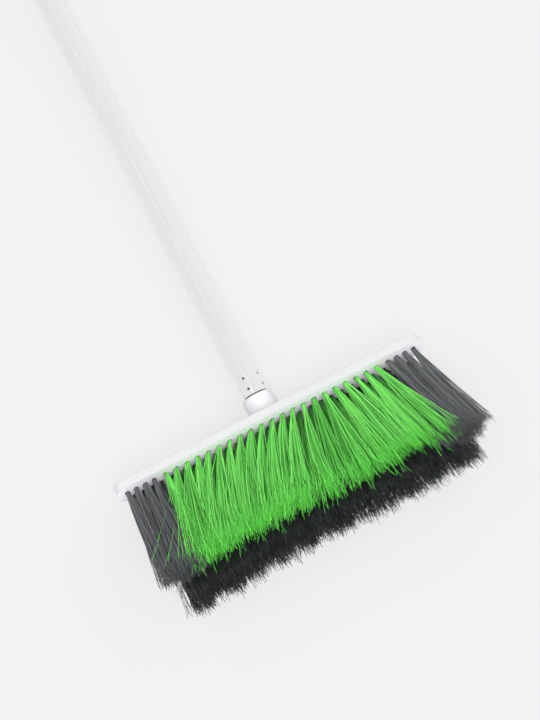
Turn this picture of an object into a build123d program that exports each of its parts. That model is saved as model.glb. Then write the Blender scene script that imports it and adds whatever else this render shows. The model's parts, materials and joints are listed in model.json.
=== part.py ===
from build123d import *
import os
from math import asin, atan2, cos, degrees, hypot, radians, sin, sqrt, tan

# Floor broom as it lies on a floor: the strip on its front side faces up, and the block's rear top edge and
# the hanging cap touch the floor. +X runs along the head, +Y along the handle, +Z up. The origin is on the
# floor, under the middle of the broom's box. Millimetres and degrees.

# Head block, in its own frame: X along the head, Y from the front side to the rear, Z out of its top. A bar
# with round ends runs along its front side, and the rest of the block is shorter.
head_length = 300.0
head_width = 57.0
front_bar_width = 22.0
front_end_radius = 8.0
rear_length = 280.0
rear_end_radius = 12.0
notch_radius = 1.5
rim_height = 8.5
crown_rise = 6.0
edge_radius = 1.5

# Screw socket on the block. It leans towards the front side, and its floor lies above the rim's top. Its
# round foot is let into the crown, down to a little above the rim.
socket_tilt = 21.0
socket_offset = 2.8
socket_height = 29.5
socket_floor = 5.8
socket_wall = 3.7
socket_taper = 5.0
socket_base_radius = 4.0
socket_rim_radius = 0.8
socket_foot_margin = 1.0
socket_foot_height = 1.0

# Tube and hanging cap.
tube_diameter = 22.0
tube_wall = 0.6
tube_length = 1200.0
cap_plug_length = 26.0
cap_clearance = 0.1
cap_seat_gap = 0.2
cap_flange = 3.0
cap_reach = 27.0
cap_thickness = 12.0
cap_edge_radius = 1.5
hang_hole_diameter = 10.0

# Groove rolled into the tube, which keeps the cap in and lets it turn.
groove_from_end = 12.0
groove_width = 3.0
groove_depth = 0.8

# Insert in the tube's lower end, and its right-handed thread.
collar_height = 1.5
collar_step = 0.3
plug_length = 34.0
plug_clearance = 0.1
plug_wall = 3.3
plug_floor = 8.0
insert_tip_gap = 1.0
insert_tip_chamfer = 1.5
thread_step = 0.6
thread_depth = 1.6
thread_pitch = 5.0
thread_root_width = 2.6
thread_crest_width = 1.3
thread_start = 4.0
thread_tip = 2.5
thread_clearance = 0.4
thread_sunk = 0.4
thread_run_in = 0.5
thread_run_out = 2.0

# Pierced crimps that lock the tube on the insert, in two rings.
crimp_count = 4
crimp_angle = -23.0
crimp_first = 5.8
crimp_spacing = 10.5
crimp_radius = 1.7
crimp_hole_diameter = 2.3
crimp_clearance = 0.1

# Tufts: five rows along the head, of which every second one is set half a pitch over. The ends of each row
# stand closer together than its middle, and have fewer tufts on the shorter rear.
front_margin = 8.9
end_margin = 8.8
tuft_pitch = 10.4
grey_count = 4
rear_end_count = 3
grey_pitch = 8.6
grey_gap_least = 10.8
hole_diameter = 4.8
hole_depth = 8.0
root_clearance = 0.1
slice_thickness = 2.0
slice_margin = 2.6
slice_gap = 0.1

# Flat wire anchors, driven across the holes and a little wider than they are.
anchor_bite = 0.3
anchor_height = 1.8
anchor_thickness = 0.4
anchor_cover = 0.8
anchor_clearance = 0.05

# Bristles: how long they are, how unevenly they are cut along a row, from row to row and within a tuft, and
# how they lie over in the front rows and in the rear ones. Each pair of a comb is a place along the head,
# from -1 at its left end to 1 at its right, and how far to the right the tips of the tufts there lie.
bristle_length = 100.0
bristle_ragged = 7.0
uneven_steps = (0.618, 0.382, 0.271)
row_flare = 11.7
front_comb = [(-1.0, 4.0), (-0.4, -21.0), (0.1, -20.0), (0.66, 31.0), (1.0, 9.0)]
rear_comb = [(-1.0, 3.0), (-0.4, -4.0), (0.1, -4.0), (0.66, 6.0), (1.0, 0.0)]
strands_per_tuft = 3
strand_width = 1.4
strand_tip_width = 0.9
strand_inset = 0.1
strand_sunk = 1.0
tip_circle = 2.4
bend_height = 0.5
bend_share = 0.55

# Sizes that follow.
tube_bore = tube_diameter - 2 * tube_wall
tube_end = collar_height + tube_length
cap_start = tube_end + cap_seat_gap
cap_radius = tube_diameter / 2
plug_radius = tube_bore / 2 - plug_clearance
plug_end = collar_height + plug_length
thread_crest = tube_bore / 2 - thread_step
thread_core = thread_crest - thread_depth
socket_bore_depth = socket_height - socket_floor
socket_bore = thread_core + thread_clearance
socket_rim = thread_crest + thread_clearance + socket_wall
socket_base = socket_rim + (socket_height + rim_height) * tan(radians(socket_taper))
socket_foot = socket_base + socket_base_radius + socket_foot_margin
thread_length = socket_bore_depth - thread_start - thread_tip
insert_tip = insert_tip_gap - socket_bore_depth
rows = {"front": -2, "second": -1, "third": 0, "fourth": 1, "fifth": 2}
row_pitch = (head_width / 2 - front_margin) / max(rows.values())
first_grey = head_length / 2 - end_margin - (grey_count - 1) * grey_pitch
green_steps = int((first_grey - grey_gap_least) / tuft_pitch)
root_circle = hole_diameter / 2 - strand_width * sqrt(2) / 2 - strand_inset
anchor_foot = hole_depth - anchor_cover - anchor_height


def outline(inset):
    """Outline of the block, moved in by an inset, with the notches behind the bar's ends rounded."""
    bar_rear = front_bar_width - head_width / 2 - inset
    rear_half = rear_length / 2 - inset
    with BuildSketch() as shape:
        with Locations((0, (front_bar_width - head_width) / 2)):
            RectangleRounded(head_length - 2 * inset, front_bar_width - 2 * inset, front_end_radius - inset)
        RectangleRounded(2 * rear_half, head_width - 2 * inset, rear_end_radius - inset)
        notches = [shape.vertices().sort_by_distance((x, bar_rear, 0))[0] for x in (-rear_half, rear_half)]
        fillet(notches, notch_radius + inset)
    return shape.sketch


block_outline = outline(0)
recess_outline = outline(slice_margin)
slice_outline = outline(slice_margin + slice_gap)


def half_pitch(row):
    """How far a row is set over."""
    return row % 2 * tuft_pitch / 2


def tuft_places(row):
    """Places of a row's tufts along the head: those of its left end, its middle and its right end."""
    end_count = grey_count if row < 0 else rear_end_count
    middle = [tuft_pitch * i - half_pitch(row) for i in range(row % 2 - green_steps, green_steps + 1)]
    right = [first_grey + grey_pitch * i - half_pitch(row) for i in range(end_count)]
    left = [-x for x in reversed(right)]
    return left, middle, right


def row_tufts(row):
    """Centres of all tufts of a row on the block's underside."""
    return [(x, row * row_pitch) for x in sum(tuft_places(row), [])]


def combed(x, row):
    """How far the tips of a tuft at x lie to the right of its root, between the places of its row's comb."""
    comb = front_comb if row < 0 else rear_comb
    place = x / (head_length / 2)
    for (start, low), (end, high) in zip(comb, comb[1:]):
        if place <= end:
            break
    return low + (high - low) * (place - start) / (end - start)


def strand_levels(x, row, number):
    """Centres of a strand's sections in the head's frame: at its root, its bend and where it is cut off."""
    turn = radians(90 + 360 / strands_per_tuft * number)
    uneven = sum(step * count for step, count in zip(uneven_steps, (x, row, number))) % 1
    cut = 1 - uneven * bristle_ragged / bristle_length
    cut_share = bend_share + (1 - bend_share) * (cut - bend_height) / (1 - bend_height)
    lie = combed(x, row)
    full_depth = sqrt(bristle_length**2 - lie**2)
    bend = (bend_share, bend_height * full_depth)
    levels = []
    for share, depth in ((0, -strand_sunk), bend, (cut_share, cut * full_depth)):
        circle = root_circle + share * (tip_circle - root_circle)
        along = x + share * lie + circle * cos(turn)
        across = row * (row_pitch + share * row_flare) + circle * sin(turn)
        levels.append((along, across, -depth))
    return levels


# How the broom rests: the floor touches the round of the rear top edge and the round end of the cap. Both
# are circles when the broom is seen from the end of its head.
crown_radius = ((head_width / 2) ** 2 + crown_rise**2) / (2 * crown_rise)
crown_centre = rim_height + crown_rise - crown_radius
edge_y = head_width / 2 - edge_radius
edge_z = crown_centre + sqrt((crown_radius - edge_radius) ** 2 - edge_y**2)
cap_distance = socket_height + tube_end + cap_reach
cap_y = socket_offset - cap_distance * sin(radians(socket_tilt))
cap_z = rim_height + cap_distance * cos(radians(socket_tilt))
rise = asin((cap_radius - edge_radius) / hypot(cap_y - edge_y, cap_z - edge_z))
rest_angle = degrees(atan2(edge_y - cap_y, cap_z - edge_z) - rise)
handle_angle = rest_angle - socket_tilt


def laid(y, z):
    """Y and Z on the floor of a place in the head's frame, before the origin is moved."""
    turn = radians(rest_angle)
    return -y * sin(turn) + z * cos(turn), -y * cos(turn) - z * sin(turn)


def floor_direction(angle):
    """Direction along the broom that dips by an angle towards the handle's end."""
    return (0, cos(radians(angle)), -sin(radians(angle)))


tips = []
for row in rows.values():
    for x, y in row_tufts(row):
        tips += [strand_levels(x, row, number)[-1] for number in range(strands_per_tuft)]
tip_half = strand_tip_width / 2
right_end = max(max(x for x, y, z in tips) + tip_half, head_length / 2)
left_end = min(min(x for x, y, z in tips) - tip_half, -head_length / 2)
tip_end = min(laid(y + tip_half, z)[0] for x, y, z in tips)
cap_end = laid(cap_y, cap_z)[0] + cap_radius

head_height = edge_radius - laid(edge_y, edge_z)[1]
head_origin = (-(right_end + left_end) / 2, -(cap_end + tip_end) / 2, head_height)
head = Plane(head_origin, x_dir=(1, 0, 0), z_dir=floor_direction(rest_angle))
head_axis = Axis(head.origin, head.z_dir)
# The head's cross section: X towards the rear, Y out of the top.
head_section = Plane(head.origin, x_dir=head.y_dir, z_dir=head.x_dir)

# The handle's frame sits on the socket's rim, with Z along the tube.
rim_y = socket_offset - socket_height * sin(radians(socket_tilt))
rim_z = rim_height + socket_height * cos(radians(socket_tilt))
handle_origin = head.from_local_coords((0, rim_y, rim_z))
handle = Plane(handle_origin, x_dir=(1, 0, 0), z_dir=floor_direction(handle_angle))
handle_axis = Axis(handle.origin, handle.z_dir)
# Half section of the round pieces: X is the radius, Y runs along the tube.
half_section = Plane(handle.origin, x_dir=handle.x_dir, z_dir=-handle.y_dir)
# Side view of the handle: X runs along the tube, Z along the head.
side_view = Plane(handle.origin, x_dir=handle.z_dir, z_dir=handle.x_dir)

crimp_places = []
for distance in (crimp_first, crimp_first + crimp_spacing):
    for i in range(crimp_count):
        turn = radians(crimp_angle + 360 / crimp_count * i)
        outwards = handle.x_dir * cos(turn) + handle.y_dir * sin(turn)
        ring_centre = handle.origin + handle.z_dir * (collar_height + distance)
        crimp_places.append(Plane(ring_centre + outwards * tube_diameter / 2, z_dir=outwards))


def thread_helix(start, length):
    """The thread's helix from a place along the tube. Wherever it starts, it runs in the same track."""
    centre = handle.origin + handle.z_dir * start
    helix = Edge.make_helix(thread_pitch, length, thread_core, centre, handle.z_dir)
    return helix.rotate(handle_axis, 360 * start / thread_pitch)


def thread_plane(helix):
    """Plane of the thread's section where its helix starts: X outwards, Y along the tube."""
    outwards = helix @ 0 - handle.origin
    outwards = outwards - handle.z_dir * outwards.dot(handle.z_dir)
    return Plane(helix @ 0, x_dir=outwards, z_dir=helix % 0)


def draw_thread(grow):
    """Trapezium of the thread, sunk into the core, with flanks and crest moved out by grow."""
    slope = (thread_root_width - thread_crest_width) / 2 / thread_depth
    root_half = thread_root_width / 2 + slope * thread_sunk + grow
    crest_half = thread_crest_width / 2 - slope * grow + grow
    crest = thread_depth + grow
    front_flank = [(-thread_sunk, -root_half), (crest, -crest_half)]
    back_flank = [(crest, crest_half), (-thread_sunk, root_half)]
    Polygon(*front_flank, *back_flank, align=None)


def grooved(radius, start, end):
    """Line along the tube at a radius, with the rolled groove in it."""
    place = tube_end - groove_from_end
    half = groove_width / 2
    dent = [(radius, place - half), (radius - groove_depth, place), (radius, place + half)]
    return [(radius, start), *dent, (radius, end)]


# The space in the socket: its bore, and the thread's track, which runs out through the rim.
with BuildPart() as socket_space:
    with BuildSketch(handle.offset(-socket_bore_depth)):
        Circle(socket_bore)
    extrude(amount=socket_bore_depth + 2 * thread_run_out)
    track_start = -thread_start - thread_length - thread_run_in
    track = thread_helix(track_start, thread_run_out - track_start)
    with BuildSketch(thread_plane(track)):
        draw_thread(thread_clearance)
    sweep(path=track, is_frenet=True)

# The white moulding: the block with its socket.
with BuildPart() as moulding:
    # The crowned bar, cut to the rounded outline, with its upper edges rounded.
    with BuildSketch(head_section):
        with BuildLine():
            shoulder = head_width / 2
            ridge = (0, rim_height + crown_rise)
            crown = ThreePointArc((-shoulder, rim_height), ridge, (shoulder, rim_height))
            Polyline(crown @ 1, (shoulder, 0), (-shoulder, 0), crown @ 0)
        make_face()
    extrude(amount=head_length / 2, both=True)
    with BuildSketch(head):
        add(block_outline)
    extrude(amount=rim_height + crown_rise, mode=Mode.INTERSECT)
    fillet(moulding.faces().sort_by(head_axis)[-1].edges(), edge_radius)
    # The socket's tapered boss, trimmed level with the underside and blended into the crown.
    with BuildSketch(handle):
        Circle(socket_rim)
    extrude(amount=-socket_height - rim_height, taper=-socket_taper)
    split(bisect_by=head, keep=Keep.TOP)
    boss = moulding.faces().filter_by(GeomType.CONE).sort_by(SortBy.AREA)[-1]
    boss_edges = boss.edges().sort_by(handle_axis)
    fillet(boss_edges[-1], socket_rim_radius)
    boss = moulding.faces().filter_by(GeomType.CONE).sort_by(SortBy.AREA)[-1]
    boss_edges = boss.edges().sort_by(handle_axis)
    fillet(boss_edges[0], socket_base_radius)
    add(socket_space.part, mode=Mode.SUBTRACT)

# Where the socket's foot ends in the block.
with BuildPart() as foot_space:
    with BuildSketch(handle):
        Circle(socket_foot)
    extrude(amount=socket_height + rim_height, both=True)
    split(bisect_by=head.offset(rim_height + socket_foot_height), keep=Keep.TOP)

with BuildPart() as handle_socket:
    add(moulding.part)
    add(foot_space.part, mode=Mode.INTERSECT)

with BuildPart() as head_block:
    add(moulding.part)
    add(foot_space.part, mode=Mode.SUBTRACT)
    # The recess for the slices that carry the tufts, and the tuft holes.
    with BuildSketch(head):
        add(recess_outline)
    extrude(amount=slice_thickness, mode=Mode.SUBTRACT)
    with BuildSketch(head):
        for row in rows.values():
            with Locations(*row_tufts(row)):
                Circle(hole_diameter / 2)
    extrude(amount=hole_depth, mode=Mode.SUBTRACT)

with BuildPart() as threaded_insert:
    with BuildSketch(half_section):
        with BuildLine():
            Polyline(
                (0, insert_tip),
                (thread_core - insert_tip_chamfer, insert_tip),
                (thread_core, insert_tip + insert_tip_chamfer),
                (thread_core, 0),
                (tube_diameter / 2 - collar_step, 0),
                (tube_diameter / 2 - collar_step, collar_height),
                (plug_radius, collar_height),
                (plug_radius, plug_end),
                (plug_radius - plug_wall, plug_end),
                (plug_radius - plug_wall, collar_height + plug_floor),
                (0, collar_height + plug_floor),
                close=True,
            )
        make_face()
    revolve(axis=handle_axis)
    thread = thread_helix(-thread_start - thread_length, thread_length)
    with BuildSketch(thread_plane(thread)):
        draw_thread(0)
    sweep(path=thread, is_frenet=True)
    with Locations(*crimp_places):
        Sphere(crimp_radius + crimp_clearance, mode=Mode.SUBTRACT)

# The tube's wall, with the groove rolled in near its far end and the crimps' holes.
with BuildPart() as pierced_wall:
    with BuildSketch(half_section):
        with BuildLine():
            inside = Polyline(*grooved(tube_bore / 2, collar_height, tube_end))
            outside = Polyline(*grooved(tube_diameter / 2, collar_height, tube_end))
            Line(inside @ 0, outside @ 0)
            Line(inside @ 1, outside @ 1)
        make_face()
    revolve(axis=handle_axis)
    with Locations(*crimp_places):
        Cylinder(crimp_hole_diameter / 2, 4 * crimp_radius, mode=Mode.SUBTRACT)

with BuildPart() as handle_tube:
    # The crimps' bulges, pierced and trimmed to the tube's outside, on the wall.
    with Locations(*crimp_places):
        Sphere(crimp_radius)
        Cylinder(crimp_hole_diameter / 2, 4 * crimp_radius, mode=Mode.SUBTRACT)
    with BuildSketch(handle.offset(collar_height)):
        Circle(tube_diameter / 2)
    extrude(amount=tube_length, mode=Mode.INTERSECT)
    add(pierced_wall.part)

with BuildPart() as hanging_cap:
    # The flat eye with its round end, no wider than the tube.
    with BuildSketch(handle.offset(cap_start)):
        Circle(cap_radius)
    extrude(amount=cap_reach + cap_radius)
    with BuildSketch(side_view):
        with Locations((tube_end + cap_reach, 0)):
            Circle(cap_radius)
        with Locations((cap_start, 0)):
            Rectangle(tube_end + cap_reach - cap_start, 2 * cap_radius, align=(Align.MIN, Align.CENTER))
    extrude(amount=cap_thickness / 2, both=True, mode=Mode.INTERSECT)
    fillet(hanging_cap.faces().filter_by(Axis.X).edges(), cap_edge_radius)
    with BuildSketch(side_view):
        with Locations((tube_end + cap_reach, 0)):
            Circle(hang_hole_diameter / 2)
    extrude(amount=cap_thickness / 2, both=True, mode=Mode.SUBTRACT)
    # The plug in the tube and the flange on the tube's end.
    with BuildSketch(half_section):
        with BuildLine():
            plug = Polyline(*grooved(tube_bore / 2 - cap_clearance, tube_end - cap_plug_length, cap_start))
            Polyline(
                plug @ 1,
                (cap_radius, cap_start),
                (cap_radius, cap_start + cap_flange),
                (0, cap_start + cap_flange),
                (0, tube_end - cap_plug_length),
                plug @ 0,
            )
        make_face()
    revolve(axis=handle_axis)


def strand(x, row, number):
    """One strand: a square section lofted from its root over its bend to its tip."""
    bend_width = strand_width + bend_share * (strand_tip_width - strand_width)
    sections = []
    for place, width in zip(strand_levels(x, row, number), (strand_width, bend_width, strand_tip_width)):
        with BuildSketch(Plane(head.from_local_coords(place), x_dir=head.x_dir, z_dir=head.z_dir)) as section:
            Rectangle(width, width)
        sections.append(section.sketch)
    return loft(sections, ruled=True, mode=Mode.PRIVATE)


def tuft_group(row, places, start, end):
    """Tufts between two places of a row: a slice of the underside, their roots above it, strands below."""
    centres = [(x, row * row_pitch) for x in places]
    front = -head_width / 2 if row == min(rows.values()) else (row - 0.5) * row_pitch
    rear = head_width / 2 if row == max(rows.values()) else (row + 0.5) * row_pitch
    strands = [strand(x, row, number) for x in places for number in range(strands_per_tuft)]
    with BuildPart() as tufts:
        with BuildSketch(head):
            add(slice_outline)
            with Locations(((start + end) / 2, (front + rear) / 2)):
                Rectangle(end - start, rear - front, mode=Mode.INTERSECT)
        extrude(amount=slice_thickness)
        with BuildSketch(head.offset(slice_thickness)):
            with Locations(*centres):
                Circle(hole_diameter / 2 - root_clearance)
        extrude(amount=hole_depth - slice_thickness)
        with BuildSketch(head.offset(anchor_foot)):
            with Locations(*centres):
                Rectangle(hole_diameter, anchor_thickness + 2 * anchor_clearance)
        extrude(amount=hole_depth - anchor_foot, mode=Mode.SUBTRACT)
        add(strands)
    return tufts


def anchor_group(row):
    """The flat wire anchors across the holes of a row."""
    with BuildPart() as anchors:
        with BuildSketch(head.offset(anchor_foot)):
            with Locations(*row_tufts(row)):
                Rectangle(hole_diameter + 2 * anchor_bite, anchor_thickness)
        extrude(amount=anchor_height)
    return anchors


pieces = {
    "head_block": head_block,
    "handle_socket": handle_socket,
    "threaded_insert": threaded_insert,
    "handle_tube": handle_tube,
    "hanging_cap": hanging_cap,
}
for name, row in rows.items():
    left, middle, right = tuft_places(row)
    end = head_length / 2
    if name in ("front", "second"):
        change = (middle[-1] + right[0]) / 2
        pieces[f"{name}_row_left_grey_tufts"] = tuft_group(row, left, -end, -change)
        pieces[f"{name}_row_green_tufts"] = tuft_group(row, middle, -change, change)
        pieces[f"{name}_row_right_grey_tufts"] = tuft_group(row, right, change, end)
    else:
        pieces[f"{name}_row_dark_tufts"] = tuft_group(row, left + middle + right, -end, end)
    pieces[f"{name}_row_anchors"] = anchor_group(row)

os.makedirs("parts", exist_ok=True)
for name, piece in pieces.items():
    piece.part.label = name
    export_step(piece.part, f"parts/{name}.step")
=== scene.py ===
# %% [markdown]
# # A floor broom, dressed for its picture
# The broom lies on a pale floor with its white strip facing up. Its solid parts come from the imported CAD
# model, which is loaded first and never moved. This lesson adds what a CAD model leaves out: thousands of
# bristles, the finish of plastic and paint, the floor, the light and the camera. Everything is in metres.

# %% The fixed frame
import json
import math

import bpy
from mathutils import Euler, Matrix, Vector


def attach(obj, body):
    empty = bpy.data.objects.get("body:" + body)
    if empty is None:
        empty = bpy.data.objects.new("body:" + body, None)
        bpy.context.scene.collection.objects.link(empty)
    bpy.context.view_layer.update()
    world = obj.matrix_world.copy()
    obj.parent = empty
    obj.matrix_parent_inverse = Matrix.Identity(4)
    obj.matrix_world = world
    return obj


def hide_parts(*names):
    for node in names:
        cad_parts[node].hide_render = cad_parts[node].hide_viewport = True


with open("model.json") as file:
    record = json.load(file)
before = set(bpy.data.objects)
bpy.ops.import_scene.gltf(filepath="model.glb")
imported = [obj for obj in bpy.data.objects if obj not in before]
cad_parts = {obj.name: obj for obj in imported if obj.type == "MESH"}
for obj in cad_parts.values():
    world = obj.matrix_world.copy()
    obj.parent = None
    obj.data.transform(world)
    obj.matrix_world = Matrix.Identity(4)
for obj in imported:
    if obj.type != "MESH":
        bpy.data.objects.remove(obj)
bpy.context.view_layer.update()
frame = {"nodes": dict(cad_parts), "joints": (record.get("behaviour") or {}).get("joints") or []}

# %% [markdown]
# ## The head's own axes
# The head lies tilted on the floor, so its holes and bristles are easier to describe in axes of its own: X
# along the head, Y from the front strip to the rear, Z out of its top. The record says where the handle
# turns and in which direction it points, and the socket leans by a known angle, so the head's place follows
# from those two.

# %% The head's own axes
socket_tilt = math.radians(21)
socket_offset = 0.0028
socket_height = 0.0295
rim_height = 0.0085

screw = next(joint for joint in frame["joints"] if joint["name"] == "handle_turn")
socket_rim = Vector(screw["pos_m"])
up_the_handle = Vector(screw["axis"]).normalized()
along_head = Vector((1, 0, 0))
out_of_top = Matrix.Rotation(-socket_tilt, 3, "X") @ up_the_handle
to_rear = out_of_top.cross(along_head)
rim_from_head = Vector((
    0,
    socket_offset - socket_height * math.sin(socket_tilt),
    rim_height + socket_height * math.cos(socket_tilt),
))
head_turn = Matrix((along_head, to_rear, out_of_top)).transposed()
head_origin = socket_rim - head_turn @ rim_from_head
head_place = Matrix.Translation(head_origin) @ head_turn.to_4x4()
print("head origin", list(head_origin))

# %% [markdown]
# ## The camera
# The photograph looks almost straight down, a little from the bristles' side, with the handle running out
# of the frame at the upper left. The camera's place and turn were fitted to edges of the tube, the strip
# and the tuft rows. A lens of 75 mm on the usual 36 mm sensor keeps the handle's slight narrowing right.

# %% The camera
camera_from_head = Vector((-0.1221, -0.1950, 1.3159))
camera_turn = Euler([math.radians(angle) for angle in (12.57, -0.63, -27.29)])
lens = 75
sensor_width = 36

camera = bpy.data.objects.new("camera", bpy.data.cameras.new("camera"))
bpy.context.scene.collection.objects.link(camera)
camera.data.lens = lens
camera.data.sensor_width = sensor_width
camera.location = head_origin + camera_from_head
camera.rotation_euler = camera_turn
bpy.context.scene.camera = camera
print("camera", list(camera.location))

# %% [markdown]
# ## Short words for nodes
# The world, the materials and the Geometry Nodes trees are all built of nodes. A few helpers keep their
# recipes short: one finds a socket by its name, one feeds a socket, one adds a node with its inputs, and two
# do sums, with numbers and with vectors. A socket that a node doesn't use in its present setting is passed
# over.

# %% Short words for nodes


def socket_named(sockets, name):
    """The first socket of that name that is in use."""
    return next(socket for socket in sockets if socket.name == name and socket.enabled)


def feed(tree, socket, value):
    """Links another node's output to a socket, or writes a plain value into it."""
    if isinstance(value, bpy.types.NodeSocket):
        tree.links.new(value, socket)
    else:
        socket.default_value = value


def add_node(tree, kind, inputs=None, **settings):
    """Adds a node with its settings, and feeds its inputs by name."""
    node = tree.nodes.new(kind)
    for name, value in settings.items():
        setattr(node, name, value)
    for name, value in (inputs or {}).items():
        feed(tree, socket_named(node.inputs, name), value)
    return node


def calc(tree, operation, *values):
    """A sum with plain numbers or other nodes' outputs."""
    node = tree.nodes.new("ShaderNodeMath")
    node.operation = operation
    for socket, value in zip(node.inputs, values):
        feed(tree, socket, value)
    return node.outputs[0]


def vector_calc(tree, operation, *values):
    """A sum with vectors. For SCALE, the second value is a number."""
    node = tree.nodes.new("ShaderNodeVectorMath")
    node.operation = operation
    sockets = [socket for socket in node.inputs if socket.enabled]
    for socket, value in zip(sockets, values):
        feed(tree, socket, value)
    return node.outputs[0]


helpers = (socket_named, feed, add_node, calc, vector_calc)
print("node helpers", [helper.__name__ for helper in helpers])

# %% [markdown]
# ## The floor and the world
# The picture is a catalogue shot: light comes from all round, and the pale floor shows only a weak shadow.
# An even world gives most of the light. The floor is matt and pale. To the camera it glows a little by
# itself, and so it does where something glossy mirrors it. That keeps the shadow soft without adding light
# to the broom. More lamps could make it as pale, but then they would bleach the broom too.

# %% The floor and the world
white = (1, 1, 1, 1)
pale = 0.863
world_strength = 0.75
world_gleam = 0.86
floor_size = 12.0
floor_tone = (0.85, 0.85, 0.85, 1)
floor_glow = 0.83
glow_tone = (0.81, 0.81, 0.81, 1)


def mirrored(tree, path):
    """1 for a ray that comes by way of a gloss or through something clear, and 0 for others."""
    return calc(tree, "MAXIMUM", path["Is Glossy Ray"], path["Is Transmission Ray"])


def make_world():
    """An even white world, which the camera sees as pale as the floor."""
    world = bpy.data.worlds.new("studio")
    world.use_nodes = True
    bpy.context.scene.world = world
    tree = world.node_tree
    path = add_node(tree, "ShaderNodeLightPath").outputs
    inputs = {"Factor": mirrored(tree, path), "A": world_strength, "B": world_gleam}
    gleam = add_node(tree, "ShaderNodeMix", inputs)
    inputs = {"Factor": path["Is Camera Ray"], "A": gleam.outputs["Result"], "B": pale}
    seen = add_node(tree, "ShaderNodeMix", inputs)
    background = tree.nodes["Background"]
    feed(tree, background.inputs["Color"], white)
    feed(tree, background.inputs["Strength"], seen.outputs["Result"])


def floor_finish():
    """A matt pale finish that glows a little where it is seen."""
    material = bpy.data.materials.new("pale_floor")
    material.use_nodes = True
    tree = material.node_tree
    tree.nodes.clear()
    path = add_node(tree, "ShaderNodeLightPath").outputs
    seen = calc(tree, "MAXIMUM", path["Is Camera Ray"], mirrored(tree, path))
    share = calc(tree, "MULTIPLY", seen, floor_glow)
    matt = add_node(tree, "ShaderNodeBsdfDiffuse", {"Color": floor_tone})
    glow = add_node(tree, "ShaderNodeEmission", {"Color": glow_tone})
    mix = add_node(tree, "ShaderNodeMixShader")
    for socket, value in zip(mix.inputs, (share, matt.outputs[0], glow.outputs[0])):
        feed(tree, socket, value)
    add_node(tree, "ShaderNodeOutputMaterial", {"Surface": mix.outputs[0]})
    return material


def make_floor():
    """A flat pale floor that keeps a weak shadow."""
    half = floor_size / 2
    corners = [(-half, -half, 0), (half, -half, 0), (half, half, 0), (-half, half, 0)]
    mesh = bpy.data.meshes.new("floor")
    mesh.from_pydata(corners, [], [(0, 1, 2, 3)])
    mesh.materials.append(floor_finish())
    floor = bpy.data.objects.new("floor", mesh)
    bpy.context.scene.collection.objects.link(floor)


make_world()
make_floor()
bpy.context.scene.view_settings.view_transform = "Standard"
print("world and floor made, the floor", floor_size, "m wide")

# %% [markdown]
# ## The lamps
# Broad lamps give the even light a little direction. The strongest one hangs on the bristles' side, close
# to the camera's direction, so that it lights the white underside between the tufts. The fine lines of
# light on the tube are mirrored from long thin lamps that hang parallel to it: a small lamp would show on
# a tube only as a dot.

# %% The lamps
# Each lamp: where it stands from the head, its width and its power.
lamps = {
    "left_lamp": (Vector((-1.9, 0.3, 1.9)), 2.4, 2.0),
    "right_lamp": (Vector((2.0, 0.2, 1.5)), 2.4, 6.0),
    "front_lamp": (Vector((-0.1, -0.9, 2.5)), 1.4, 35.0),
}
# Each strip of light along the tube: where it hangs from the head and its power.
strips = {
    "left_strip": (Vector((-0.65, 0.9, 2.3)), 21.0),
    "right_strip": (Vector((1.5, 0.9, 2.3)), 10.0),
}
strip_width = 0.03
strip_length = 4.0


def new_lamp(name, from_head, power):
    """An area lamp at a place from the head."""
    lamp = bpy.data.objects.new(name, bpy.data.lights.new(name, "AREA"))
    bpy.context.scene.collection.objects.link(lamp)
    lamp.data.energy = power
    lamp.location = head_origin + from_head
    return lamp


def make_lamp(name, from_head, size, power):
    """A broad square lamp that faces the head."""
    lamp = new_lamp(name, from_head, power)
    lamp.data.size = size
    lamp.rotation_euler = (-from_head).to_track_quat("-Z", "Y").to_euler()


def make_strip(name, from_head, power):
    """A long thin lamp above the tube and parallel to it."""
    lamp = new_lamp(name, from_head, power)
    lamp.data.shape = "RECTANGLE"
    lamp.data.size = strip_width
    lamp.data.size_y = strip_length
    lamp.rotation_euler = (0, math.atan2(from_head.x, from_head.z), 0)


for name, facts in lamps.items():
    make_lamp(name, *facts)
for name, facts in strips.items():
    make_strip(name, *facts)
print(len(lamps), "lamps and", len(strips), "strips made")

# %% [markdown]
# ## Words for finishes
# No real surface is one even colour. A picture laid on the piece could show that, but the piece would have
# to be unfolded for it. Noise nodes need no picture: they work out a grain from the piece's own coordinates,
# so it looks the same from each side. These helpers start a material, make noise, and turn it into numbers,
# colours and bumps.

# %% Words for finishes


def new_finish(name):
    """A new material, its node tree and its shader."""
    material = bpy.data.materials.new(name)
    material.use_nodes = True
    return material, material.node_tree, material.node_tree.nodes["Principled BSDF"]


def noise(tree, scale, detail=2.0, stretch=(1, 1, 1)):
    """Noise on the piece's own coordinates, so many grains to the metre."""
    place = add_node(tree, "ShaderNodeTexCoord")
    mapped = add_node(tree, "ShaderNodeMapping", {"Vector": place.outputs["Object"], "Scale": stretch})
    inputs = {"Vector": mapped.outputs[0], "Scale": scale, "Detail": detail}
    grain = add_node(tree, "ShaderNodeTexNoise", inputs)
    return grain.outputs["Fac"]


def between(tree, factor, low, high):
    """A number that follows a factor from low to high."""
    inputs = {"Value": factor, "To Min": low, "To Max": high}
    return add_node(tree, "ShaderNodeMapRange", inputs).outputs["Result"]


def tinted(tree, factor, low, high):
    """A colour that follows a factor from low to high."""
    node = add_node(tree, "ShaderNodeMix", data_type="RGBA")
    for name, value in (("Factor", factor), ("A", low), ("B", high)):
        feed(tree, socket_named(node.inputs, name), (*value, 1) if isinstance(value, tuple) else value)
    return socket_named(node.outputs, "Result")


def bumpy(tree, height, depth):
    """Bump from a height, at most so many metres deep."""
    inputs = {"Height": height, "Distance": depth, "Strength": 1.0}
    return add_node(tree, "ShaderNodeBump", inputs).outputs["Normal"]


helpers = (new_finish, noise, between, tinted, bumpy)
print("finish helpers", [helper.__name__ for helper in helpers])

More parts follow.
